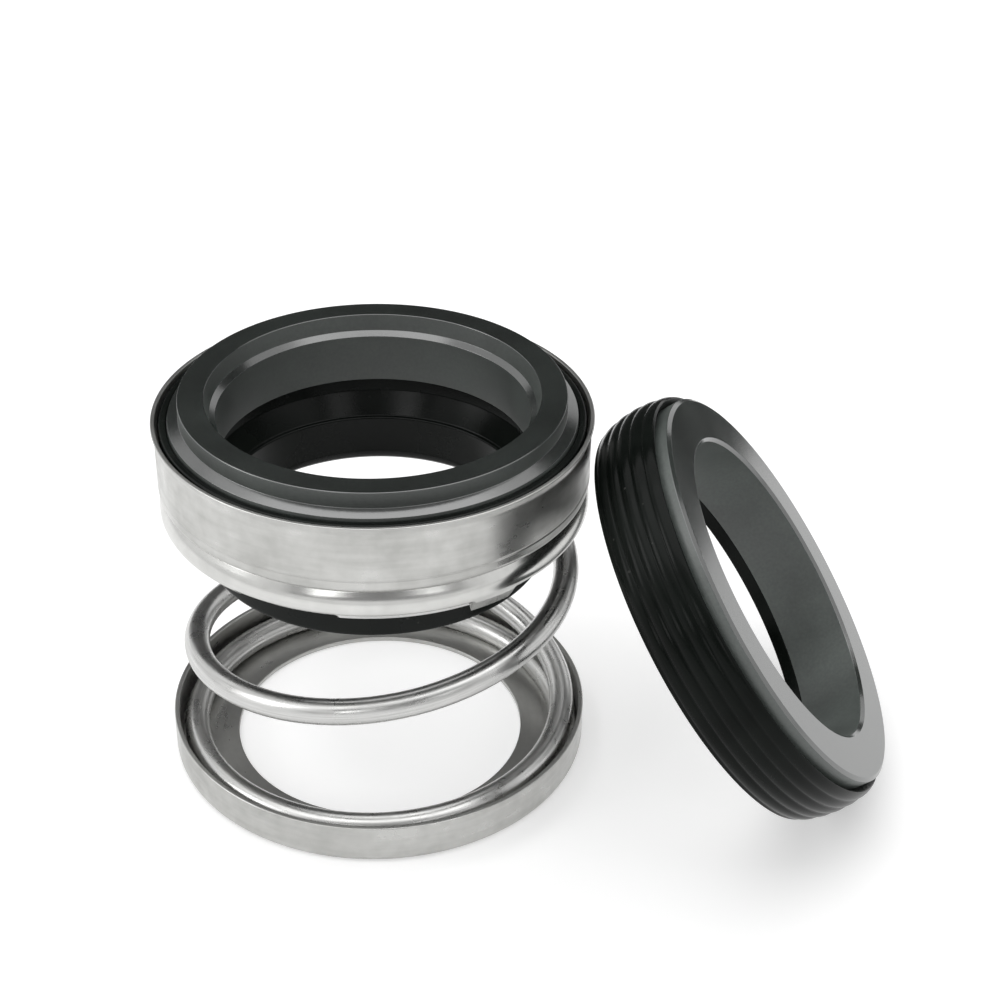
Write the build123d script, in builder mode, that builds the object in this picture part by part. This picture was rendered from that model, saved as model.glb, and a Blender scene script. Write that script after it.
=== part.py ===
"""Component mechanical seal for a 35 mm shaft, as its two loose halves.

The rotary head stands on its spring holder. From the bottom up it is the stamped holder, one
round-wire spring, the drive band, the drawn shell, the rubber bellows and the hard face ring.
The stationary seat, a ring in a ribbed rubber cup, leans beside the shell with its back edge on
the floor.

Millimetres, +Z up. The origin is the centre of the spring holder's underside, on the head's axis.
Angles run counter-clockwise from +X as seen from above. A section's x is the distance from its
axis, and its y runs along the axis.
"""

from build123d import *
from math import cos, pi, radians, sin
import os

# ---- Driving dimensions ----------------------------------------------------------------------

shaft_radius = 17.5

# fits
rubber_fit = 0.06             # left round a part that the rubber grips
hole_fit = 0.3                # round the bellows' neck, in the shell and the drive band
rim_gap = 0.25                # between the shell's rim and the leaning seat

# spring holder, a stamped dish
holder_clearance = 0.25       # shaft to hole
holder_sheet = 0.6
holder_height = 5.05
holder_room = 0.52            # wire to wall
holder_bend = 0.95            # outside the dish's corner

# spring, closed and ground at both ends
wire = 3.05
free_length = 36.5
closed_turns = 0.95           # at each end
open_turns = 1.52
coil_touch = 0.07             # between a closed turn and its neighbour
tip_inset = 0.35              # wire centre inside the ground face, at each tip
tip_angle = -3.0              # direction of the lower tip
coil_gap = 0.17               # bellows' foot to the open turns
top_coil_gap = 0.25           # bellows' tail to the turn inside the drive band
bottom_flare = 0.8            # by which the closed turn in the holder is wider than the open turns
flare_end = 48.0              # degrees past that closed turn
coil_swell = 0.7              # by which the wire widens again before it narrows
swell_lead = 200.0            # degrees ahead of the top closed turn
narrow_lead = 100.0           # degrees ahead of it where the wire narrows
coil_blend = 80.0             # degrees over which the flare ends and the swell starts
narrow_blend = 120.0          # degrees over which the wire narrows
pitch_blend = 40.0            # degrees over which the pitch changes
tip_run = 160.0               # ground stretch at each tip, a run of its own
points_per_turn = 18
angle_nudge = 0.01            # degrees to each side of a place where the wire's direction is taken

# drive band, the collar under the shell
band_sheet = 0.4
band_corner = 0.48            # outside the corner under the shell
band_coil_gap = 0.3           # wire to skirt
band_height = 4.0
edge_curl = 1.16              # lower edge inside the roll above it
roll_rise = 1.25              # from the lower edge
roll_bend = 0.9
waist_depth = 0.5             # waist inside the roll
waist_drop = 1.4              # from the top of the band
bead_roll = 0.45              # bead outside the waist
bead_height = 0.75
bead_bend = 0.5               # outside the lower side of the bead, and in the waist
lug_start = 295.5
lug_arc = 13.0
lug_drop = 0.9
notch_start = 232.0
notch_arc = 28.5
notch_rise = 0.28
notch_cut = (2.4, 1.8)        # the punch that cuts it, across the sheet and along the axis
band_symmetry = 2             # lugs, and notches, round the band

# shell, the drawn retainer
shell_sheet = 0.5
shell_height = 8.43
shell_bend = 0.8              # outside the corner of wall and floor
rim_flare = 0.35
rim_height = 1.0
rim_bend = 1.5

# face ring, hard and lapped
ring_clearance = 0.55         # shaft to bore
ring_height = 8.39
bore_chamfer_width = 0.62
bore_chamfer_rise = 0.58
recess_depth = 1.86
recess_taper = 0.55
face_width = 2.99
shoulder_width = 1.31
shoulder_rise = 0.29
nose_height = 1.99
ring_corner = 0.4

# bellows, one rubber moulding
tail_grip = 0.16              # bore smaller than the shaft
tail_length = 8.55            # below the drive band's flange
foot_wall = 3.06
foot_round = 1.65             # lead-in for the shaft
foot_edge = 0.42              # rounding outside
foot_taper = 3.4
lip_taper = 0.5
lip_round = 0.45
lip_drop = 3.03               # from the shell's floor to the lip of the bore
throat_width = 1.55
throat_drop = 0.23            # from the shell's floor to the top of the cone
well_taper = 0.3
flex_wall = 0.45
neck_wall = 1.6
pad = 2.0                     # between the shell's floor and the face ring
cup_wall = 0.91
cup_height = 7.7
cup_round = 0.3

# stationary seat
seat_clearance = 1.6          # shaft to bore
seat_height = 9.6
seat_bore_chamfer = 0.36
seat_face_width = 4.9
seat_edge_width = 0.46
seat_edge_drop = 0.3

# seat cup, ribbed rubber
back_wall = 1.55
back_step = 0.05              # its hole, smaller than the ring's
side_wall = 0.72              # over the ring, at the ends of the ribbed side
side_depth = 8.15
lip_fall = 0.74
rib_count = 5
rib_start = 0.45
rib_height = 0.24
barrel = 0.6                  # swell of the ribbed side at mid depth
back_corner = 0.2

# how the seat leans
seat_lean = 35.76             # of its axis above the floor
seat_heading = -8.05          # direction in which its face looks
seat_bearing = -11.5          # direction of the place beside the shell

# ---- Sizes that follow -----------------------------------------------------------------------

# radii, from the shaft outwards
holder_hole = shaft_radius + holder_clearance
tail_bore = shaft_radius - tail_grip
lip_radius = tail_bore + lip_taper
throat_radius = lip_radius + throat_width
well_radius = throat_radius + well_taper
tail_radius = throat_radius + flex_wall
foot_radius = tail_bore + foot_wall
neck_radius = throat_radius + neck_wall
flange_hole = neck_radius + hole_fit

coil_radius = foot_radius + coil_gap + wire / 2
bottom_coil_radius = coil_radius + bottom_flare
top_coil_radius = tail_radius + top_coil_gap + wire / 2
holder_radius = bottom_coil_radius + wire / 2 + holder_room + holder_sheet
band_edge = top_coil_radius + wire / 2 + band_coil_gap + band_sheet
band_roll = band_edge + edge_curl
band_waist = band_roll - waist_depth
band_bead = band_waist + bead_roll

ring_bore = shaft_radius + ring_clearance
recess_floor = ring_bore + bore_chamfer_width
recess_radius = recess_floor + recess_taper
nose_radius = recess_radius + face_width
ring_radius = nose_radius + shoulder_width
cup_inside = ring_radius + rubber_fit
cup_radius = cup_inside + cup_wall
shell_inside = cup_radius + rubber_fit
shell_radius = shell_inside + shell_sheet
rim_radius = shell_radius + rim_flare

seat_bore = shaft_radius + seat_clearance
seat_face_inner = seat_bore + seat_bore_chamfer
seat_face_outer = seat_face_inner + seat_face_width
seat_radius = seat_face_outer + seat_edge_width
seat_cup_inside = seat_radius + rubber_fit
seat_cup_hole = seat_bore - back_step
seat_cup_radius = seat_cup_inside + side_wall

# levels along the head's axis, from the floor up
spring_bottom = holder_sheet
spring_top = spring_bottom + free_length
band_top = spring_top + band_sheet
band_bottom = band_top - band_height
shell_floor = band_top + shell_sheet
shell_top = band_top + shell_height
ring_back = shell_floor + pad
ring_face = ring_back + ring_height
shoulder = ring_face - nose_height


def radial_plane(angle):
    """Upright plane through the head's axis, with its x pointing out in the given direction."""
    turn = radians(angle)
    return Plane(origin=(0, 0, 0), x_dir=(cos(turn), sin(turn), 0), z_dir=(sin(turn), -cos(turn), 0))


def sheet_section(skin, bends, sheet):
    """Section of pressed sheet: the line of its outer skin, thickened to the left of its run."""
    with BuildLine() as outline:
        FilletPolyline(*skin, radius=bends)
        offset(amount=sheet, side=Side.LEFT)
    make_face(outline.edges())


# ---- Spring holder: a stamped dish with a hole for the shaft -----------------------------------

with BuildPart() as spring_holder:
    with BuildSketch(Plane.XZ):
        sheet_section(
            [(holder_hole, 0), (holder_radius, 0), (holder_radius, holder_height)],
            [holder_bend],
            holder_sheet,
        )
    revolve(axis=Axis.Z)

spring_holder.part.label = "spring_holder"

# ---- Spring: open turns between two closed turns, the tips ground flat -------------------------

closed_pitch = wire + coil_touch
turns = open_turns + 2 * closed_turns
open_pitch = (free_length - 2 * tip_inset - 2 * closed_turns * closed_pitch) / open_turns
opening_angle = 360 * closed_turns
closing_angle = 360 * (closed_turns + open_turns)
narrowing = coil_radius + coil_swell - top_coil_radius
wire_foot = spring_bottom + tip_inset


def smooth_step(past, width):
    """A smooth change from 0 to 1, centred where past is 0."""
    share = min(max(past / width + 0.5, 0), 1)
    return share**2 * (3 - 2 * share)


def smooth_ramp(past, width):
    """The area under smooth_step: a slope of 1 that fades in where past is 0."""
    share = min(max(past / width + 0.5, 0), 1)
    return width * (share**3 - share**4 / 2) + max(past - width / 2, 0)


def wire_centre(angle):
    """Point on the wire's centre line, by the angle run from the lower tip."""
    past_opening, past_closing = angle - opening_angle, angle - closing_angle
    opened = smooth_ramp(past_opening, pitch_blend) - smooth_ramp(past_closing, pitch_blend)
    height = wire_foot + (closed_pitch * angle + (open_pitch - closed_pitch) * opened) / 360
    radius = (
        bottom_coil_radius
        - bottom_flare * smooth_step(past_opening - flare_end, coil_blend)
        + coil_swell * smooth_step(past_closing + swell_lead, coil_blend)
        - narrowing * smooth_step(past_closing + narrow_lead, narrow_blend)
    )
    turn = radians(tip_angle + angle)
    return (radius * cos(turn), radius * sin(turn), height)


def wire_run(start, end):
    """Centre line between two angles, tangent to the runs on either side of it."""
    spans = round((end - start) / 360 * points_per_turn)
    angles = [start + (end - start) * i / spans for i in range(spans + 1)]
    directions = [
        Vector(wire_centre(angle + angle_nudge)) - Vector(wire_centre(angle - angle_nudge))
        for angle in (start, end)
    ]
    Spline(*[wire_centre(angle) for angle in angles], tangents=directions, tangent_scalars=[1, 1])


with BuildPart() as spring:
    with BuildLine() as wire_path:
        wire_run(0, tip_run)
        wire_run(tip_run, 360 * turns - tip_run)
        wire_run(360 * turns - tip_run, 360 * turns)
    with BuildSketch(Plane(origin=wire_path.line @ 0, z_dir=wire_path.line % 0)):
        Circle(wire / 2)
    sweep(path=wire_path.line, is_frenet=True)
    split(bisect_by=Plane.XY.offset(spring_bottom), keep=Keep.TOP)
    split(bisect_by=Plane.XY.offset(spring_top), keep=Keep.BOTTOM)

spring.part.label = "spring"

# ---- Drive band: a collar with two rolls and a waist, and lugs and notches in its edge ---------

waist_point = (band_waist, band_top - waist_drop)
roll_point = (band_roll, band_bottom + roll_rise)

with BuildPart() as drive_band:
    with BuildSketch(Plane.XZ):
        sheet_section(
            [
                (band_edge, band_bottom),
                roll_point,
                waist_point,
                (band_bead, band_top - bead_height),
                (band_bead, band_top),
                (flange_hole, band_top),
            ],
            [roll_bend, bead_bend, bead_bend, band_corner],
            band_sheet,
        )
    revolve(axis=Axis.Z)
    for i in range(band_symmetry):
        turned = 360 * i / band_symmetry
        with BuildSketch(radial_plane(lug_start + turned)):
            sheet_section(
                [(band_edge, band_bottom - lug_drop), roll_point, waist_point],
                [roll_bend],
                band_sheet,
            )
        revolve(axis=Axis.Z, revolution_arc=lug_arc)
        with BuildSketch(radial_plane(notch_start + turned)):
            with Locations((band_edge, band_bottom + notch_rise)):
                Rectangle(*notch_cut, align=(Align.CENTER, Align.MAX))
        revolve(axis=Axis.Z, revolution_arc=notch_arc, mode=Mode.SUBTRACT)

drive_band.part.label = "drive_band"

# ---- Shell: a drawn retainer with a flared rim -------------------------------------------------

with BuildPart() as shell:
    with BuildSketch(Plane.XZ):
        sheet_section(
            [
                (flange_hole, band_top),
                (shell_radius, band_top),
                (shell_radius, shell_top - rim_height),
                (rim_radius, shell_top),
            ],
            [shell_bend, rim_bend],
            shell_sheet,
        )
    revolve(axis=Axis.Z)
    split(bisect_by=Plane.XY.offset(shell_top), keep=Keep.BOTTOM)

shell.part.label = "shell"

# ---- Bellows: a cup that holds the face ring, a cone and a tail that grips the shaft -----------

foot = spring_top - tail_length
lip = shell_floor - lip_drop
flange_step = spring_top + rubber_fit      # the neck starts inside the flange, clear of the wire
cup_corner = shell_bend - shell_sheet + 2 * rubber_fit

bellows_corners = [                        # place, rounding
    ((tail_bore, foot), foot_round),
    ((foot_radius, foot), foot_edge),
    ((tail_radius, foot + foot_taper), 0),
    ((tail_radius, flange_step), 0),
    ((neck_radius, flange_step), 0),
    ((neck_radius, shell_floor), 0),
    ((cup_radius, shell_floor), cup_corner),
    ((cup_radius, shell_floor + cup_height), cup_round),
    ((cup_inside, shell_floor + cup_height), cup_round),
    ((cup_inside, ring_back), 0),
    ((well_radius, ring_back), 0),
    ((throat_radius, shell_floor - throat_drop), 0),
    ((lip_radius, lip), 0),
    ((tail_bore, lip), lip_round),
]

with BuildPart() as bellows:
    with BuildSketch(Plane.XZ):
        with BuildLine():
            FilletPolyline(
                *[place for place, rounding in bellows_corners],
                radius=[rounding for place, rounding in bellows_corners],
                close=True,
            )
        make_face()
    revolve(axis=Axis.Z)

bellows.part.label = "bellows"

# ---- Face ring: a stepped bore, a raised lapped nose and a sloping shoulder --------------------

ring_corners = [                           # place, rounding
    ((ring_bore, ring_back), 0),
    ((ring_radius, ring_back), ring_corner),
    ((ring_radius, shoulder - shoulder_rise), 0),
    ((nose_radius, shoulder), 0),
    ((nose_radius, ring_face), 0),
    ((recess_radius, ring_face), 0),
    ((recess_floor, ring_face - recess_depth), 0),
    ((ring_bore, ring_face - recess_depth - bore_chamfer_rise), 0),
]

with BuildPart() as face_ring:
    with BuildSketch(Plane.XZ):
        with BuildLine():
            FilletPolyline(
                *[place for place, rounding in ring_corners],
                radius=[rounding for place, rounding in ring_corners],
                close=True,
            )
        make_face()
    revolve(axis=Axis.Z)

face_ring.part.label = "face_ring"

# ---- Where the seat stands: its back edge on the floor, its top edge beside the shell ----------

lean = radians(seat_lean)
heading = radians(seat_heading)
bearing = radians(seat_bearing)
reach = rim_radius + rim_gap
set_back = (seat_cup_radius - back_corner) * sin(lean) + back_corner * (1 - cos(lean))
seat_origin = (
    reach * cos(bearing) + set_back * cos(heading),
    reach * sin(bearing) + set_back * sin(heading),
    (seat_cup_radius - back_corner) * cos(lean) + back_corner * (1 - sin(lean)),
)
seat_direction = (cos(lean) * cos(heading), cos(lean) * sin(heading), sin(lean))
seat_axis = Axis(seat_origin, seat_direction)
seat_section = Plane(
    origin=seat_origin,
    x_dir=(-sin(heading), cos(heading), 0),
    z_dir=(cos(heading) * sin(lean), sin(heading) * sin(lean), -cos(lean)),
)

# ---- Seat cup: a rubber cup whose swelled side is ribbed for its housing -----------------------

rib_pitch = (side_depth - rib_start) / rib_count


def rib_root(i):
    """Point in the groove before rib i, on the cup's barrelled side."""
    swell = barrel * (1 - (2 * i / rib_count - 1) ** 2)
    return (seat_cup_radius + swell, rib_start + i * rib_pitch)


with BuildPart() as seat_cup:
    with BuildSketch(seat_section):
        with BuildLine():
            CenterArc((seat_cup_radius - back_corner, back_corner), back_corner, -90, 90)
            Line((seat_cup_radius, back_corner), rib_root(0))
            for i in range(rib_count):
                root, next_root = rib_root(i), rib_root(i + 1)
                crest = ((root[0] + next_root[0]) / 2 + rib_height, (root[1] + next_root[1]) / 2)
                ThreePointArc(root, crest, next_root)
            Polyline(
                rib_root(rib_count),
                (seat_cup_inside, side_depth - lip_fall),
                (seat_cup_inside, back_wall),
                (seat_cup_hole, back_wall),
                (seat_cup_hole, 0),
                (seat_cup_radius - back_corner, 0),
            )
        make_face()
    revolve(axis=seat_axis)

seat_cup.part.label = "seat_cup"

# ---- Seat ring: the stationary ring, its lapped face proud of the cup --------------------------

with BuildPart() as seat_ring:
    with BuildSketch(seat_section):
        with BuildLine():
            Polyline(
                (seat_bore, back_wall),
                (seat_radius, back_wall),
                (seat_radius, seat_height - seat_edge_drop),
                (seat_face_outer, seat_height),
                (seat_face_inner, seat_height),
                (seat_bore, seat_height - seat_bore_chamfer),
                close=True,
            )
        make_face()
    revolve(axis=seat_axis)

seat_ring.part.label = "seat_ring"

# ---- One STEP file for each piece --------------------------------------------------------------

os.makedirs("parts", exist_ok=True)
export_step(spring_holder.part, "parts/spring_holder.step")
export_step(spring.part, "parts/spring.step")
export_step(drive_band.part, "parts/drive_band.step")
export_step(shell.part, "parts/shell.step")
export_step(bellows.part, "parts/bellows.step")
export_step(face_ring.part, "parts/face_ring.step")
export_step(seat_cup.part, "parts/seat_cup.step")
export_step(seat_ring.part, "parts/seat_ring.step")

wire_volume = pi * wire**2 / 4 * wire_path.wires()[0].length
print(f"spring volume {spring.part.volume:.0f} of {wire_volume:.0f} mm3 before grinding")
print(f"open pitch {open_pitch:.2f}, seat origin {seat_origin}, direction {seat_direction}")
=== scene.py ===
"""Looks of the elastomer bellows mechanical seal: the rotary head on its spring holder, and the
stationary seat leaning beside it. Sizes in the sections are millimetres; the scene is in metres."""

from bisect import bisect_left
from math import cos, pi, radians, sin, tan

import bpy
from mathutils import Matrix, Vector
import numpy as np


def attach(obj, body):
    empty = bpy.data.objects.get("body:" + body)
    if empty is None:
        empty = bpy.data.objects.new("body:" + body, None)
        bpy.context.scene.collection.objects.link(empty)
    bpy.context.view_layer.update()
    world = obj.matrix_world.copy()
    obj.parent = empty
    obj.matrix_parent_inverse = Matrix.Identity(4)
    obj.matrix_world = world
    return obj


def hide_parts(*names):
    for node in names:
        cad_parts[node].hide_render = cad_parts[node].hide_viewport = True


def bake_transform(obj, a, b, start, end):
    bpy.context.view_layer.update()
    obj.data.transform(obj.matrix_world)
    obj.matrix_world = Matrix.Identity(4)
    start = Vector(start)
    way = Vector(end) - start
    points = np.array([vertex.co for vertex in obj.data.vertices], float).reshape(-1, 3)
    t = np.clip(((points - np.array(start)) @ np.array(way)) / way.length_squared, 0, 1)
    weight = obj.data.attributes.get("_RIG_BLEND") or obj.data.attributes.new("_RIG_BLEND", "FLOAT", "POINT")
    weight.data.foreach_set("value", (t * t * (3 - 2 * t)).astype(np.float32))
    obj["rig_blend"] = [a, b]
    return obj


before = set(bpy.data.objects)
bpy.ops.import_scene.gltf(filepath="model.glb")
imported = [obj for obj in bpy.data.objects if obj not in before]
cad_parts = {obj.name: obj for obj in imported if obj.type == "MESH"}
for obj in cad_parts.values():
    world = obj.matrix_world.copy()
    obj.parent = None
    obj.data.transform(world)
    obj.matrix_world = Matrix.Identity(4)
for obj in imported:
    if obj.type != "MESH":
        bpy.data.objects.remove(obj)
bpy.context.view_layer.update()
MM = 0.001
scene = bpy.context.scene

# ---- Camera ------------------------------------------------------------------------------------
# A 69 mm lens a little over twenty centimetres off, looking down on the head by a third of a
# right angle, with a slight turn and roll.

yaw, pitch, roll = radians(3.475), radians(32.099), radians(1.062)
forward = Vector((sin(yaw) * cos(pitch), cos(yaw) * cos(pitch), -sin(pitch)))
level = Vector((cos(yaw), -sin(yaw), 0))
upward = level.cross(forward)
across = cos(roll) * level + sin(roll) * upward
upward = cos(roll) * upward - sin(roll) * level

camera = bpy.data.objects.new("Camera", bpy.data.cameras.new("Camera"))
scene.collection.objects.link(camera)
turned = Matrix((across, upward, -forward)).transposed().to_4x4()
camera_place = Vector((2.971, -192.869, 154.6)) * MM
camera.matrix_world = Matrix.Translation(camera_place) @ turned
camera.data.lens = 69.34
camera.data.clip_start = 0.01
scene.camera = camera

# ---- Studio ------------------------------------------------------------------------------------
# A pale sheet that brightens to white away from the object, an even white surround, a broad soft
# lamp overhead, one at the left, and a weak one at each side of the camera. Dark boards, seen only
# in polished faces, stand behind the object, hang high behind it, and hang above the camera.


def add_node(tree, kind, inputs=None, **settings):
    """A node with its settings, and with its inputs set to values or linked to other sockets."""
    node = tree.nodes.new(kind)
    for name, value in settings.items():
        setattr(node, name, value)
    for key, value in (inputs or {}).items():
        if isinstance(value, bpy.types.NodeSocket):
            tree.links.new(value, node.inputs[key])
        else:
            node.inputs[key].default_value = value
    return node


def calculate(tree, operation, *values):
    """The result of a Math node."""
    return add_node(tree, "ShaderNodeMath", dict(enumerate(values)), operation=operation).outputs[0]


def remap(tree, value, low, high, first=0.0, last=1.0):
    """A value carried from one range to another, and held at its ends."""
    return add_node(tree, "ShaderNodeMapRange", {0: value, 1: low, 2: high, 3: first, 4: last}).outputs[0]


def new_material(name):
    """A material with nodes, and its shader's inputs."""
    material = bpy.data.materials.new(name)
    material.use_nodes = True
    return material, material.node_tree.nodes["Principled BSDF"].inputs


def flat_board(name, corners):
    """A board folded through pairs of corners, in millimetres, kept out of the object."""
    mesh = bpy.data.meshes.new(name)
    faces = [(i, i + 2, i + 3, i + 1) for i in range(0, len(corners) - 2, 2)]
    mesh.from_pydata([Vector(c) * MM for c in corners], [], faces)
    board = bpy.data.objects.new(name, mesh)
    scene.collection.objects.link(board)
    return board


def soft_lamp(name, place, target, size, power):
    """A square area lamp, in millimetres, turned to its target."""
    lamp = bpy.data.objects.new(name, bpy.data.lights.new(name, "AREA"))
    scene.collection.objects.link(lamp)
    lamp.location = Vector(place) * MM
    lamp.rotation_euler = ((Vector(place) - Vector(target)).to_track_quat("Z", "Y")).to_euler()
    lamp.data.size = size * MM
    lamp.data.energy = power
    return lamp


scene.view_settings.view_transform = "Standard"
world = bpy.data.worlds.new("studio")
scene.world = world
world.use_nodes = True
tree = world.node_tree
ray = add_node(tree, "ShaderNodeLightPath").outputs
shown = calculate(tree, "MAXIMUM", ray["Is Camera Ray"], ray["Is Glossy Ray"])
shown = calculate(tree, "MAXIMUM", shown, ray["Is Transmission Ray"])
surround_light = 0.5
surround = tree.nodes["Background"].inputs
surround["Color"].default_value = (1, 1, 1, 1)
tree.links.new(remap(tree, shown, 0, 1, surround_light, 1.0), surround["Strength"])


def card(name, tone):
    """Dull card of one tone of grey, and its shader's inputs."""
    material, surface = new_material(name)
    surface["Base Color"].default_value = (tone, tone, tone, 1)
    surface["Roughness"].default_value = 0.9
    return material, surface


floor_reach = 1500
floor_glow, far_glow = 0.36, 0.8
floor_corners = [(x, y, 0) for x in (-floor_reach, floor_reach) for y in (floor_reach, -floor_reach)]
floor = flat_board("floor", floor_corners)
pale_sheet, paper = card("pale_sheet", 0.82)
tree = pale_sheet.node_tree
ray = add_node(tree, "ShaderNodeLightPath").outputs
shown = calculate(tree, "MAXIMUM", ray["Is Camera Ray"], ray["Is Glossy Ray"])
place = add_node(tree, "ShaderNodeTexCoord").outputs["Object"]
away = add_node(tree, "ShaderNodeVectorMath", {0: place}, operation="LENGTH").outputs["Value"]
far = calculate(tree, "MULTIPLY", ray["Is Camera Ray"], remap(tree, away, 0.2, 0.5, 0, far_glow))
lift = calculate(tree, "ADD", calculate(tree, "MULTIPLY", shown, floor_glow), far)
tree.links.new(lift, paper["Emission Strength"])
paper["Emission Color"].default_value = (1, 1, 1, 1)
paper["Specular IOR Level"].default_value = 0.1
floor.data.materials.append(pale_sheet)

screen = [(-160, 205), (60, 150), (150, 120), (340, 62)]
screen_top, window_top, window_foot, screen_foot = 225, 112, 35, 1
back_board = flat_board("back_board", [(*p, z) for p in screen[:2] for z in (screen_foot, screen_top)])
high_board = flat_board("high_board", [(*p, z) for p in screen[1:] for z in (window_top, screen_top)])
foot_board = flat_board("foot_board", [(*p, z) for p in screen[1:] for z in (screen_foot, window_foot)])
roof_board = flat_board("roof_board", [(x, y, 470) for x in (-330, 330) for y in (170, 420)])
front_board = flat_board("front_board", [(x, -345, z) for x in (-330, 330) for z in (120, 520)])
black_card = card("black_card", 0.06)[0]
grey_card = card("grey_card", 0.26)[0]
for board in (back_board, high_board, foot_board, roof_board, front_board):
    board.data.materials.append(grey_card if board is front_board else black_card)
    board.visible_camera = False
    board.visible_diffuse = False
    board.visible_shadow = False

soft_lamp("overhead_lamp", (0, 80, 480), (0, 0, 20), 600, 1.5)
soft_lamp("side_lamp", (-400, -60, 270), (0, 0, 25), 200, 0.4)
soft_lamp("left_lamp", (-140, -330, 222), (0, 0, 25), 120, 0.12)
soft_lamp("right_lamp", (155, -330, 222), (0, 0, 25), 120, 0.08)

# ---- Spring holder -----------------------------------------------------------------------------
# A shallow dish that carries the spring's lower end. It is pressed from stainless sheet, pierced
# for the shaft, and tumbled, which leaves it pale and faintly mottled.

ROUND_STEPS = 6


def rounded(corners):
    """Closed line through (radius, height, rounding) corners, an arc in place of each corner."""
    points = []
    for i, (x, y, size) in enumerate(corners):
        here = Vector((x, y))
        back = Vector(corners[i - 1][:2]) - here
        ahead = Vector(corners[(i + 1) % len(corners)][:2]) - here
        half = back.angle(ahead) / 2
        reach = size / tan(half)
        if size == 0:
            points.append(here)
            continue
        centre = here + (back.normalized() + ahead.normalized()).normalized() * size / sin(half)
        start = here + back.normalized() * reach
        finish = here + ahead.normalized() * reach
        lead = min(0.04, 0.3 * (back.length - reach), 0.3 * (ahead.length - reach))
        points.append(start + back.normalized() * lead)
        sweep = (start - centre).angle_signed(finish - centre)
        for k in range(ROUND_STEPS + 1):
            arm = (start - centre).copy()
            arm.rotate(Matrix.Rotation(-sweep * k / ROUND_STEPS, 2))
            points.append(centre + arm)
        points.append(finish + ahead.normalized() * lead)
    return points


def pressed(skin, sheet, edge):
    """Corners of pressed sheet: its outer skin, and its inner one on the left of the run."""
    def parallel(i):
        a, b = Vector(skin[i][:2]), Vector(skin[i + 1][:2])
        run = (b - a).normalized()
        return a + Vector((-run.y, run.x)) * sheet, run

    inner = [parallel(0)[0]]
    for i in range(len(skin) - 2):
        (a, run), (b, next_run) = parallel(i), parallel(i + 1)
        along = (b - a).cross(next_run) / run.cross(next_run)
        inner.append(a + run * along)
    a, run = parallel(len(skin) - 2)
    inner.append(a + run * (Vector(skin[-1][:2]) - Vector(skin[-2][:2])).length)
    outer = [(*skin[0][:2], edge)] + list(skin[1:-1]) + [(*skin[-1][:2], edge)]
    back = [(*inner[0], edge)]
    for i in range(1, len(skin) - 1):
        before = Vector(skin[i][:2]) - Vector(skin[i - 1][:2])
        after = Vector(skin[i + 1][:2]) - Vector(skin[i][:2])
        inside = skin[i][2] - sheet if before.cross(after) > 0 else skin[i][2] + sheet
        back.append((*inner[i], max(inside, 0.06)))
    back.append((*inner[-1], edge))
    return outer + back[::-1]


def turned_piece(name, line, material, steps=256, place=Matrix.Identity(4)):
    """A ring spun from a closed line of (radius, height) points."""
    area = sum(a[0] * b[1] - b[0] * a[1] for a, b in zip(line, line[1:] + line[:1]))
    if area < 0:
        line = line[::-1]
    count = len(line)
    points = []
    for i in range(steps):
        turn = 2 * pi * i / steps
        points += [place @ (Vector((r * cos(turn), r * sin(turn), z)) * MM) for r, z in line]
    faces = []
    for i in range(steps):
        here, there = i * count, (i + 1) % steps * count
        for j in range(count):
            k = (j + 1) % count
            faces.append((here + j, there + j, there + k, here + k))
    mesh = bpy.data.meshes.new(name)
    mesh.from_pydata(points, [], faces)
    mesh.polygons.foreach_set("use_smooth", [True] * len(faces))
    mesh.materials.append(material)
    piece = bpy.data.objects.new(name, mesh)
    scene.collection.objects.link(piece)
    return piece


def on_object(tree):
    """Where a material's point lies on the object, in metres."""
    return add_node(tree, "ShaderNodeTexCoord").outputs["Object"]


def combined(tree, x=0.0, y=0.0, z=0.0):
    """A vector put together from its three parts."""
    return add_node(tree, "ShaderNodeCombineXYZ", {0: x, 1: y, 2: z}).outputs[0]


def vector_math(tree, operation, *values):
    """The vector that a Vector Math node gives."""
    return add_node(tree, "ShaderNodeVectorMath", dict(enumerate(values)), operation=operation).outputs[0]


def noise(tree, place, scale, detail, roughness=0.5):
    """Noise in space, from 0 to 1."""
    inputs = {"Vector": place, "Scale": scale, "Detail": detail, "Roughness": roughness}
    return add_node(tree, "ShaderNodeTexNoise", inputs).outputs["Fac"]


def layered(tree, first, *more):
    """A sum of layers: the first, and pairs of another one with its share."""
    for layer, share in more:
        first = calculate(tree, "ADD", first, calculate(tree, "MULTIPLY", layer, share))
    return first


def mixed(tree, share, dull, pale):
    """One colour running into another as share goes from 0 to 1."""
    return add_node(tree, "ShaderNodeMix", {0: share, 6: dull, 7: pale}, data_type="RGBA").outputs[2]


def apply_finish(material, colour, gloss, relief, strength, depth):
    """Gives a material its colour, its roughness, and a relief with its strength and its depth."""
    tree = material.node_tree
    surface = tree.nodes["Principled BSDF"].inputs
    bump = add_node(tree, "ShaderNodeBump", {"Height": relief, "Strength": strength, "Distance": depth})
    tree.links.new(colour, surface["Base Color"])
    tree.links.new(gloss, surface["Roughness"])
    tree.links.new(bump.outputs[0], surface["Normal"])


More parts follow.
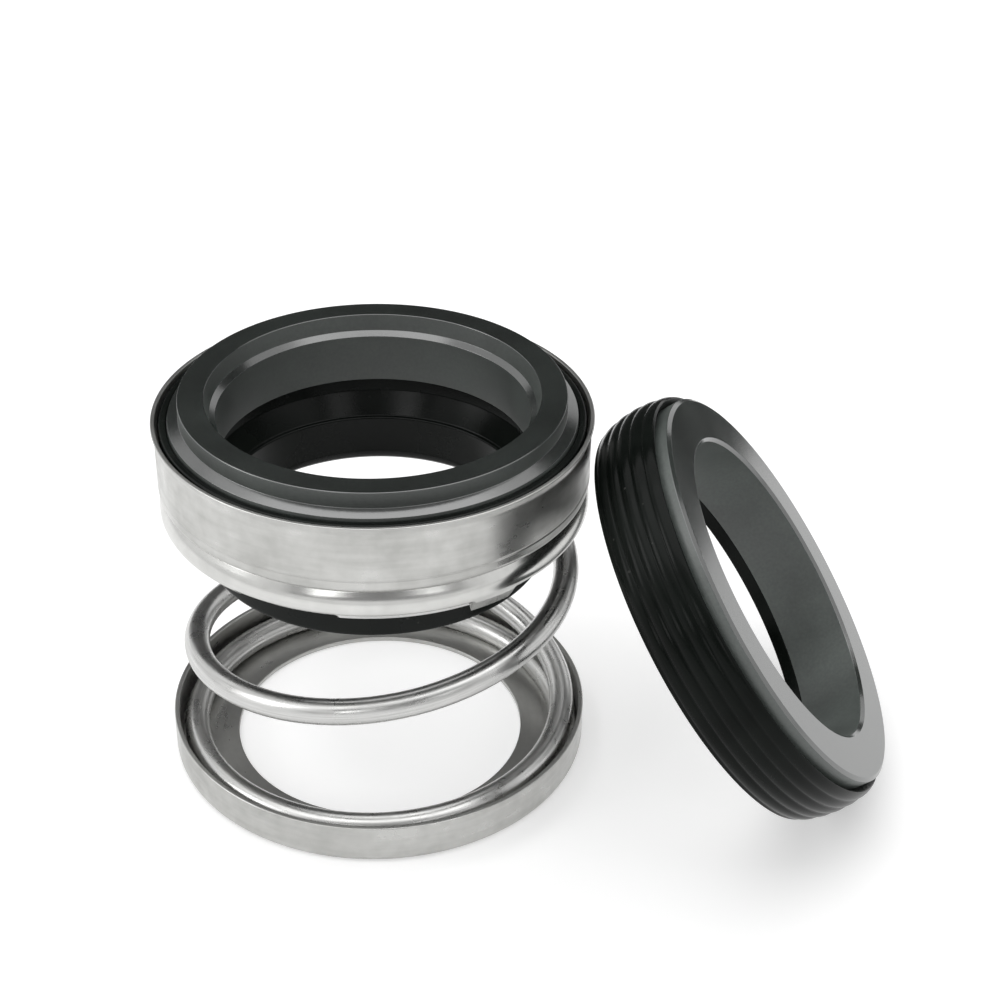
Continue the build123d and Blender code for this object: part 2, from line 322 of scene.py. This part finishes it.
def sheet_finish(name, pale, dull, smooth, rough, marks):
    """Stainless sheet: rings from the spinning tool, faint draw marks, and tumbled mottling."""
    material, surface = new_material(name)
    surface["Metallic"].default_value = 1.0
    tree = material.node_tree
    place = on_object(tree)
    split = add_node(tree, "ShaderNodeSeparateXYZ", {0: place}).outputs
    flat = combined(tree, split[0], split[1])
    radius = add_node(tree, "ShaderNodeVectorMath", {0: flat}, operation="LENGTH").outputs["Value"]
    facing = vector_math(tree, "NORMALIZE", flat)
    bend = add_node(tree, "ShaderNodeVectorMath", {0: facing, 3: 0.0022}, operation="SCALE").outputs[0]
    rings = vector_math(tree, "ADD", combined(tree, x=radius, z=split[2]), bend)
    ring_marks = noise(tree, rings, 1300, 2)
    heading = add_node(tree, "ShaderNodeSeparateXYZ", {0: facing}).outputs
    streaks = combined(tree, heading[0], heading[1], calculate(tree, "MULTIPLY", split[2], 6.0))
    draw_marks = noise(tree, streaks, 30, 4)
    mottle = noise(tree, place, 620, 2)
    cloud = noise(tree, place, 120, 3)
    worn = layered(tree, cloud, (mottle, 0.5), (ring_marks, 0.5))
    low, high = 0.75, 1.25
    colour = mixed(tree, remap(tree, worn, low, high), (*dull, 1), (*pale, 1))
    gloss = remap(tree, worn, low, high, rough, smooth)
    relief = calculate(tree, "MULTIPLY", ring_marks, marks)
    relief = layered(tree, relief, (mottle, 0.5), (draw_marks, 0.35))
    apply_finish(material, colour, gloss, relief, 0.07, 0.00003)
    return material


HOLDER_HOLE, HOLDER_RADIUS, HOLDER_HEIGHT, HOLDER_SHEET = 17.75, 25.54, 5.05, 0.6
dish_skin = [(HOLDER_HOLE, 0, 0), (HOLDER_RADIUS, 0, 0.95), (HOLDER_RADIUS, HOLDER_HEIGHT, 0)]
dish_line = rounded(pressed(dish_skin, HOLDER_SHEET, 0.14))
tumbled_sheet = sheet_finish("tumbled_sheet", (0.54, 0.54, 0.525), (0.42, 0.42, 0.405), 0.26, 0.4, 0.8)
holder = turned_piece("stamped_holder", dish_line, tumbled_sheet)
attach(holder, "stand")
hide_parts("spring_holder")

# ---- Spring ------------------------------------------------------------------------------------
# Bright drawn wire, wound into open turns between two closed ones. The lower turn is wide, to sit
# in the holder, and both tips are ground flat.

WIRE, FREE_LENGTH, SPRING_FOOT = 3.05, 36.5, HOLDER_SHEET
CLOSED_TURNS, OPEN_TURNS, CLOSED_PITCH, OPEN_PITCH = 0.95, 1.52, 3.12, 19.65
TIP_INSET, TIP_ANGLE = 0.35, -3.0
OPENING, CLOSING = 360 * CLOSED_TURNS, 360 * (CLOSED_TURNS + OPEN_TURNS)
LOWER_RADIUS, PITCH_BLEND = 22.895, 40
COIL_CHANGES = [(OPENING + 48, 80, -0.8), (CLOSING - 200, 80, 0.7), (CLOSING - 100, 120, -1.18)]


def eased(past, width):
    """A smooth change from 0 to 1, centred where past is 0."""
    share = min(max(past / width + 0.5, 0), 1)
    return share**2 * (3 - 2 * share)


def eased_ramp(past, width):
    """The area under eased."""
    share = min(max(past / width + 0.5, 0), 1)
    return width * (share**3 - share**4 / 2) + max(past - width / 2, 0)


def wire_centre(angle):
    """Point on the wire's centre line, by the degrees run from the lower tip."""
    opened = eased_ramp(angle - OPENING, PITCH_BLEND) - eased_ramp(angle - CLOSING, PITCH_BLEND)
    height = SPRING_FOOT + TIP_INSET + (CLOSED_PITCH * angle + (OPEN_PITCH - CLOSED_PITCH) * opened) / 360
    radius = LOWER_RADIUS + sum(change * eased(angle - at, width) for at, width, change in COIL_CHANGES)
    turn = radians(TIP_ANGLE + angle)
    return Vector((radius * cos(turn), radius * sin(turn), height))


def tree_with_inputs(name, inputs):
    """A Geometry Nodes tree with named inputs after its geometry, and its two end nodes."""
    tree = bpy.data.node_groups.new(name, "GeometryNodeTree")
    tree.interface.new_socket("Geometry", in_out="INPUT", socket_type="NodeSocketGeometry")
    for label, kind in inputs.items():
        tree.interface.new_socket(label, in_out="INPUT", socket_type=kind)
    tree.interface.new_socket("Geometry", in_out="OUTPUT", socket_type="NodeSocketGeometry")
    return tree, tree.nodes.new("NodeGroupInput").outputs, tree.nodes.new("NodeGroupOutput").inputs


def end_tree(tree, geometry, material, result):
    """Ends a Geometry Nodes tree with real geometry in its material."""
    real = add_node(tree, "GeometryNodeRealizeInstances", {"Geometry": geometry})
    painted = add_node(tree, "GeometryNodeSetMaterial", {"Geometry": real.outputs[0], "Material": material})
    tree.links.new(painted.outputs[0], result["Geometry"])


def run_nodes(source, tree, values, name):
    """A plain mesh object with what the tree makes of the source, which is then removed."""
    modifier = source.modifiers.new(name, "NODES")
    modifier.node_group = tree
    for item in tree.interface.items_tree:
        if item.in_out == "INPUT" and item.name in values:
            modifier[item.identifier] = values[item.name]
    made = source.evaluated_get(bpy.context.evaluated_depsgraph_get())
    mesh = bpy.data.meshes.new_from_object(made)
    source.modifiers.remove(modifier)
    bpy.data.objects.remove(source)
    mesh.name = name
    piece = bpy.data.objects.new(name, mesh)
    scene.collection.objects.link(piece)
    return piece


winding, given, result = tree_with_inputs("wound_wire", {
    "Wire Radius": "NodeSocketFloat",
    "Sides": "NodeSocketInt",
    "Ground Bottom": "NodeSocketFloat",
    "Ground Top": "NodeSocketFloat",
    "Finish": "NodeSocketMaterial",
})
path = add_node(winding, "GeometryNodeSetCurveNormal", {"Curve": given["Geometry"]}, mode="Z_UP")
run = add_node(winding, "GeometryNodeSplineParameter")
path = add_node(winding, "GeometryNodeStoreNamedAttribute", {
    "Geometry": path.outputs[0], "Name": "along", "Value": run.outputs["Length"],
}, data_type="FLOAT", domain="POINT")
circle = add_node(winding, "GeometryNodeCurvePrimitiveCircle", {
    "Resolution": given["Sides"], "Radius": given["Wire Radius"],
})
spot = add_node(winding, "GeometryNodeInputPosition").outputs[0]
ring = add_node(winding, "GeometryNodeStoreNamedAttribute", {
    "Geometry": circle.outputs[0], "Name": "around", "Value": vector_math(winding, "NORMALIZE", spot),
}, data_type="FLOAT_VECTOR", domain="POINT")
wound = add_node(winding, "GeometryNodeCurveToMesh", {
    "Curve": path.outputs[0], "Profile Curve": ring.outputs[0], "Fill Caps": True,
})
at = add_node(winding, "ShaderNodeSeparateXYZ", {0: spot}).outputs
ground = calculate(winding, "MAXIMUM", at[2], given["Ground Bottom"])
ground = calculate(winding, "MINIMUM", ground, given["Ground Top"])
flat_ends = add_node(winding, "GeometryNodeSetPosition", {
    "Geometry": wound.outputs[0], "Position": combined(winding, at[0], at[1], ground),
})
smooth = add_node(winding, "GeometryNodeSetShadeSmooth", {
    "Geometry": flat_ends.outputs[0], "Shade Smooth": True,
})
end_tree(winding, smooth.outputs[0], given["Finish"], result)

bright_wire, surface = new_material("bright_wire")
surface["Metallic"].default_value = 1.0
tree = bright_wire.node_tree
around = add_node(tree, "ShaderNodeAttribute", attribute_name="around").outputs["Vector"]
along = add_node(tree, "ShaderNodeAttribute", attribute_name="along").outputs["Fac"]
drawn = vector_math(tree, "ADD", around, combined(tree, z=calculate(tree, "MULTIPLY", along, 22)))
die_lines = noise(tree, drawn, 5, 3, 0.55)
speckle = noise(tree, on_object(tree), 400, 2)
colour = mixed(tree, remap(tree, die_lines, 0.3, 0.7), (0.45, 0.45, 0.44, 1), (0.64, 0.64, 0.63, 1))
gloss = remap(tree, speckle, 0.3, 0.7, 0.24, 0.34)
apply_finish(bright_wire, colour, gloss, layered(tree, die_lines, (speckle, 0.3)), 0.035, 0.00004)

wire_line = bpy.data.curves.new("wire_line", "CURVE")
wire_line.dimensions = "3D"
spline = wire_line.splines.new("POLY")
last = 360 * (OPEN_TURNS + 2 * CLOSED_TURNS)
stations = round(last / 4)
line = [wire_centre(last * i / stations) for i in range(stations + 1)]
spline.points.add(stations)
for point, centre in zip(spline.points, line):
    point.co = (*(centre * MM), 1)
coil = bpy.data.objects.new("wire_line", wire_line)
scene.collection.objects.link(coil)
spring = run_nodes(coil, winding, {
    "Wire Radius": WIRE / 2 * MM,
    "Sides": 32,
    "Ground Bottom": SPRING_FOOT * MM,
    "Ground Top": (SPRING_FOOT + FREE_LENGTH) * MM,
    "Finish": bright_wire,
}, "wound_spring")
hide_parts("spring")

# The closed turns keep with their ends, and each round of the open wire follows the stroke by its
# height at rest, so that the wire stays round.
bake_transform(spring, "stand", "head", start=wire_centre(OPENING) * MM, end=wire_centre(CLOSING) * MM)
runs = [0.0]
for a, b in zip(line, line[1:]):
    runs.append(runs[-1] + (b - a).length * MM)
low, high = wire_centre(OPENING).z, wire_centre(CLOSING).z
shares = [min(max((centre.z - low) / (high - low), 0), 1) for centre in line]
weights = spring.data.attributes["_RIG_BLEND"].data
for weight, reached in zip(weights, spring.data.attributes["along"].data):
    weight.value = shares[min(bisect_left(runs, reached.value - 1e-6), stations)]

# ---- Drive band --------------------------------------------------------------------------------
# A collar crimped under the shell, bulged into one round slope between its two edges. Two lugs stand
# below its lower edge, to catch the spring, and two shallow notches are cut into it.

pressing, given, result = tree_with_inputs("lugged_edge", {
    "Edge Height": "NodeSocketFloat",
    "Roll Height": "NodeSocketFloat",
    "Pieces Round": "NodeSocketInt",
    "Lug Start": "NodeSocketFloat",
    "Lug Arc": "NodeSocketFloat",
    "Lug Drop": "NodeSocketFloat",
    "Notch Start": "NodeSocketFloat",
    "Notch Arc": "NodeSocketFloat",
    "Notch Rise": "NodeSocketFloat",
    "Finish": "NodeSocketMaterial",
})
spot = add_node(pressing, "GeometryNodeInputPosition").outputs[0]
at = add_node(pressing, "ShaderNodeSeparateXYZ", {0: spot}).outputs
turn = calculate(pressing, "DEGREES", calculate(pressing, "ARCTAN2", at[1], at[0]))
spacing = calculate(pressing, "DIVIDE", 360.0, given["Pieces Round"])
reach = remap(pressing, at[2], given["Roll Height"], given["Edge Height"])


def pressed_share(start, arc):
    """How far a point is inside one of the repeated arcs, from 0 to 1 over half a degree."""
    past = calculate(pressing, "FLOORED_MODULO", calculate(pressing, "SUBTRACT", turn, start), spacing)
    left = calculate(pressing, "SUBTRACT", arc, past)
    rise = remap(pressing, past, -0.01, 0.5)
    fall = remap(pressing, left, -0.01, 0.5)
    return calculate(pressing, "MINIMUM", rise, fall)


lug = pressed_share(given["Lug Start"], given["Lug Arc"])
lug = calculate(pressing, "MULTIPLY", lug, given["Lug Drop"])
notch = pressed_share(given["Notch Start"], given["Notch Arc"])
notch = calculate(pressing, "MULTIPLY", notch, given["Notch Rise"])
shift = calculate(pressing, "MULTIPLY", calculate(pressing, "SUBTRACT", notch, lug), reach)
moved = add_node(pressing, "GeometryNodeSetPosition", {
    "Geometry": given["Geometry"], "Offset": combined(pressing, z=shift),
})
end_tree(pressing, moved.outputs[0], given["Finish"], result)

HEAD_RADIUS = 25.05
BAND_EDGE, BAND_TOP, BAND_HOLE, BAND_SHEET = 33.5, 37.5, 21.29, 0.4
band_skin = [
    (23.84, BAND_EDGE, 0), (HEAD_RADIUS, 34.75, 0.9), (HEAD_RADIUS, 36.1, 2.8), (24.2, BAND_TOP, 0.5),
    (BAND_HOLE, BAND_TOP, 0),
]
bright_sheet = sheet_finish("bright_sheet", (0.62, 0.62, 0.605), (0.52, 0.52, 0.505), 0.17, 0.26, 0.5)
collar_line = rounded(pressed(band_skin, BAND_SHEET, 0.1))
collar = turned_piece("collar_ring", collar_line, bright_sheet, steps=720)
band = run_nodes(collar, pressing, {
    "Edge Height": BAND_EDGE * MM,
    "Roll Height": 34.9 * MM,
    "Pieces Round": 2,
    "Lug Start": 295.5,
    "Lug Arc": 13.0,
    "Lug Drop": 0.9 * MM,
    "Notch Start": 232.0,
    "Notch Arc": 28.5,
    "Notch Rise": 0.28 * MM,
    "Finish": bright_sheet,
}, "crimped_band")
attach(band, "head")
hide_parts("drive_band")

# ---- Shell -------------------------------------------------------------------------------------
# The drawn cup that holds the bellows and the face ring. Its floor bears on the drive band, its
# rim is flared by a hair, and the last draw left a fine line low on its wall.

SHELL_INSIDE, SHELL_FLOOR, RIM_HEIGHT, RIM_RADIUS = 24.55, 38.0, 45.93, 25.4
shell_line = rounded([
    (BAND_HOLE, BAND_TOP, 0.1), (HEAD_RADIUS, BAND_TOP, 0.8), (HEAD_RADIUS, 38.94, 0.1),
    (25.0, 39.1, 0.06), (HEAD_RADIUS, 39.28, 0.1), (HEAD_RADIUS, 44.93, 1.5),
    (RIM_RADIUS, RIM_HEIGHT, 0.12), (24.87, RIM_HEIGHT, 0.12), (SHELL_INSIDE, 45.015, 2.0),
    (SHELL_INSIDE, SHELL_FLOOR, 0.3), (BAND_HOLE, SHELL_FLOOR, 0.1),
])
shell = turned_piece("drawn_shell", shell_line, tumbled_sheet)
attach(shell, "head")
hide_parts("shell")

# ---- Bellows -----------------------------------------------------------------------------------
# One moulding of black nitrile: a cup round the face ring, a thin cone that flexes, and a tail
# that grips the shaft.


def rubber_finish(name, tone, smooth, rough, shine):
    """Moulded rubber: near black, with a faint bloom, fine grain and a few specks of dust."""
    material, surface = new_material(name)
    surface["Specular IOR Level"].default_value = shine
    tree = material.node_tree
    place = on_object(tree)
    bloom = noise(tree, place, 140, 4)
    dust = add_node(tree, "ShaderNodeTexVoronoi", {"Vector": place, "Scale": 330}).outputs["Distance"]
    pale = tuple(v * 1.6 + 0.002 for v in tone)
    colour = mixed(tree, remap(tree, bloom, 0.35, 0.7), (*tone, 1), (*pale, 1))
    colour = mixed(tree, remap(tree, dust, 0.035, 0.06, 0.5, 0.0), colour, (0.06, 0.06, 0.056, 1))
    gloss = remap(tree, bloom, 0.3, 0.7, smooth, rough)
    apply_finish(material, colour, gloss, noise(tree, place, 5200, 2), 0.2, 0.00003)
    return material


TAIL_BORE, TAIL_END, TAIL_TOP, TAIL_RADIUS = 17.34, 28.55, 34.97, 19.84
NECK_RADIUS, NECK_FOOT = 20.99, 37.16
CUP_RADIUS, CUP_INSIDE, LIP_HEIGHT, RING_SEAT = 24.49, 23.58, 45.7, 40.0
bellows_line = rounded([
    (TAIL_BORE, TAIL_END, 1.65), (20.4, TAIL_END, 0.42), (TAIL_RADIUS, 31.95, 0.8),
    (TAIL_RADIUS, NECK_FOOT, 0.05), (NECK_RADIUS, NECK_FOOT, 0.05), (NECK_RADIUS, SHELL_FLOOR, 0.05),
    (CUP_RADIUS, SHELL_FLOOR, 0.42), (CUP_RADIUS, LIP_HEIGHT, 0.3), (CUP_INSIDE, LIP_HEIGHT, 0.3),
    (CUP_INSIDE, RING_SEAT, 0.05), (19.69, RING_SEAT, 0.05), (19.39, 37.77, 0.3),
    (17.84, TAIL_TOP, 0.22), (TAIL_BORE, TAIL_TOP, 0.22),
])
head_rubber = rubber_finish("head_rubber", (0.003, 0.0042, 0.0034), 0.2, 0.32, 0.15)
bellows = turned_piece("moulded_bellows", bellows_line, head_rubber)
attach(bellows, "head")
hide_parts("bellows")

# ---- Face ring ---------------------------------------------------------------------------------
# The rotating seal face, sintered carbide. Its raised nose is lapped flat, the shoulder outside it
# is as smooth, and its walls and the stepped bore are left as ground.


def carbide_finish(name, tone, smooth, rough, index):
    """Sintered carbide: dark grey-green and finely grained, satin where lapped, dull where ground."""
    material, surface = new_material(name)
    surface["IOR"].default_value = index
    tree = material.node_tree
    place = on_object(tree)
    grain = noise(tree, place, 2600, 3)
    patches = noise(tree, place, 110, 3)
    dull, pale = (tuple(v * k for v in tone) for k in (0.75, 1.3))
    colour = mixed(tree, remap(tree, patches, 0.3, 0.7), (*dull, 1), (*pale, 1))
    grained = {0: colour, 3: remap(tree, grain, 0.3, 0.7, 0.84, 1.16)}
    colour = add_node(tree, "ShaderNodeVectorMath", grained, operation="SCALE").outputs[0]
    gloss = remap(tree, layered(tree, patches, (grain, 0.5)), 0.5, 1.0, smooth, rough)
    apply_finish(material, colour, gloss, grain, 0.12, 0.00002)
    return material


def grind_walls(ring, axis, material):
    """Gives the walls of a ring, which were ground and not lapped, their own finish."""
    steepest_lapped = 0.4
    ring.data.materials.append(material)
    for face in ring.data.polygons:
        if abs(face.normal.dot(axis)) < steepest_lapped:
            face.material_index = 1


RING_BORE, RING_RADIUS, NOSE_RADIUS, NOSE_HEIGHT = 18.05, 23.52, 22.21, 48.39
ring_line = rounded([
    (RING_BORE, RING_SEAT, 0.1), (RING_RADIUS, RING_SEAT, 0.4), (RING_RADIUS, 45.7, 0.05),
    (23.44, 46.02, 0.06), (NOSE_RADIUS, 46.52, 0.06), (NOSE_RADIUS, NOSE_HEIGHT, 0.12),
    (19.22, NOSE_HEIGHT, 0.1), (18.67, 46.53, 0.06), (RING_BORE, 45.95, 0.06),
])
lapped_carbide = carbide_finish("lapped_carbide", (0.009, 0.0125, 0.0105), 0.14, 0.22, 2.3)
ground_carbide = carbide_finish("ground_carbide", (0.036, 0.043, 0.039), 0.42, 0.55, 1.8)
face_ring = turned_piece("lapped_face_ring", ring_line, lapped_carbide)
grind_walls(face_ring, Vector((0, 0, 1)), ground_carbide)
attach(face_ring, "head")
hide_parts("face_ring")

# ---- Seat cup ----------------------------------------------------------------------------------
# The rubber cup that the stationary ring is pressed into. Five low ribs run round its swelled
# side, to grip and seal its housing.

seat_axis = Vector((0.803475948680331, -0.1136362826341924, 0.5843913031191721))
seat_level = Vector((0, 0, 1)).cross(seat_axis).normalized()
seat_frame = Matrix((seat_level, seat_axis.cross(seat_level), seat_axis)).transposed().to_4x4()
seat_place = Matrix.Translation(Vector((39.86967716, -7.19771565, 20.69451051)) * MM) @ seat_frame


SEAT_BORE, SEAT_BACK = 19.05, 1.55
SIDE_RADIUS, SIDE_SWELL, SIDE_FOOT, SIDE_TOP = 25.6, 0.6, 0.45, 8.15
RIBS, RIB_PITCH, RIB_CREST, RIB_STEPS = 5, 1.54, 0.24, 10


def rib_root(i):
    """Point in the groove before rib i, on the cup's barrelled side."""
    swell = SIDE_SWELL * (1 - (2 * i / RIBS - 1) ** 2)
    return Vector((SIDE_RADIUS + swell, SIDE_FOOT + i * RIB_PITCH))


cup_corners = [
    (24.88, 7.41, 0.1), (24.88, SEAT_BACK, 0.05), (SEAT_BORE, SEAT_BACK, 0.05), (SEAT_BORE, 0, 0.12),
    (SIDE_RADIUS, 0, 0.2),
]
cup_line = rounded([*cup_corners, (SIDE_RADIUS, SIDE_FOOT, 0), (SIDE_RADIUS, SIDE_TOP, 0)])[:-2]
for i in range(RIBS):
    root, next_root = rib_root(i), rib_root(i + 1)
    for k in range(RIB_STEPS):
        share = k / RIB_STEPS
        crest = RIB_CREST * sin(pi * share) ** 0.7
        point = root.lerp(next_root, share)
        cup_line.append(Vector((point.x + crest, point.y)))
cup_line += [Vector((SIDE_RADIUS, 8.12)), Vector((25.56, SIDE_TOP)), Vector((25.52, 8.13))]
seat_rubber = rubber_finish("seat_rubber", (0.0028, 0.004, 0.0032), 0.15, 0.25, 0.09)
seat_cup = turned_piece("ribbed_seat_cup", cup_line, seat_rubber, place=seat_place)
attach(seat_cup, "stand")
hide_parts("seat_cup")

# ---- Seat ring ---------------------------------------------------------------------------------
# The stationary ring, carbide a shade lighter than the rotating one. Its lapped face stands proud
# of the cup, bevelled outside and chamfered at the bore, and its walls are ground.

SEAT_RING_BORE, SEAT_RING_RADIUS, SEAT_FACE = 19.1, 24.82, 9.6
seat_line = rounded([
    (SEAT_RING_BORE, SEAT_BACK, 0.05), (SEAT_RING_RADIUS, SEAT_BACK, 0.1), (SEAT_RING_RADIUS, 9.3, 0.06),
    (24.36, SEAT_FACE, 0.05), (19.46, SEAT_FACE, 0.05), (SEAT_RING_BORE, 9.24, 0.05),
])
lapped_seat = carbide_finish("lapped_seat", (0.02, 0.025, 0.022), 0.11, 0.17, 2.3)
ground_seat = carbide_finish("ground_seat", (0.062, 0.073, 0.067), 0.4, 0.55, 1.8)
seat_ring = turned_piece("lapped_seat_ring", seat_line, lapped_seat, place=seat_place)
grind_walls(seat_ring, seat_axis, ground_seat)
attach(seat_ring, "stand")
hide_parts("seat_ring")
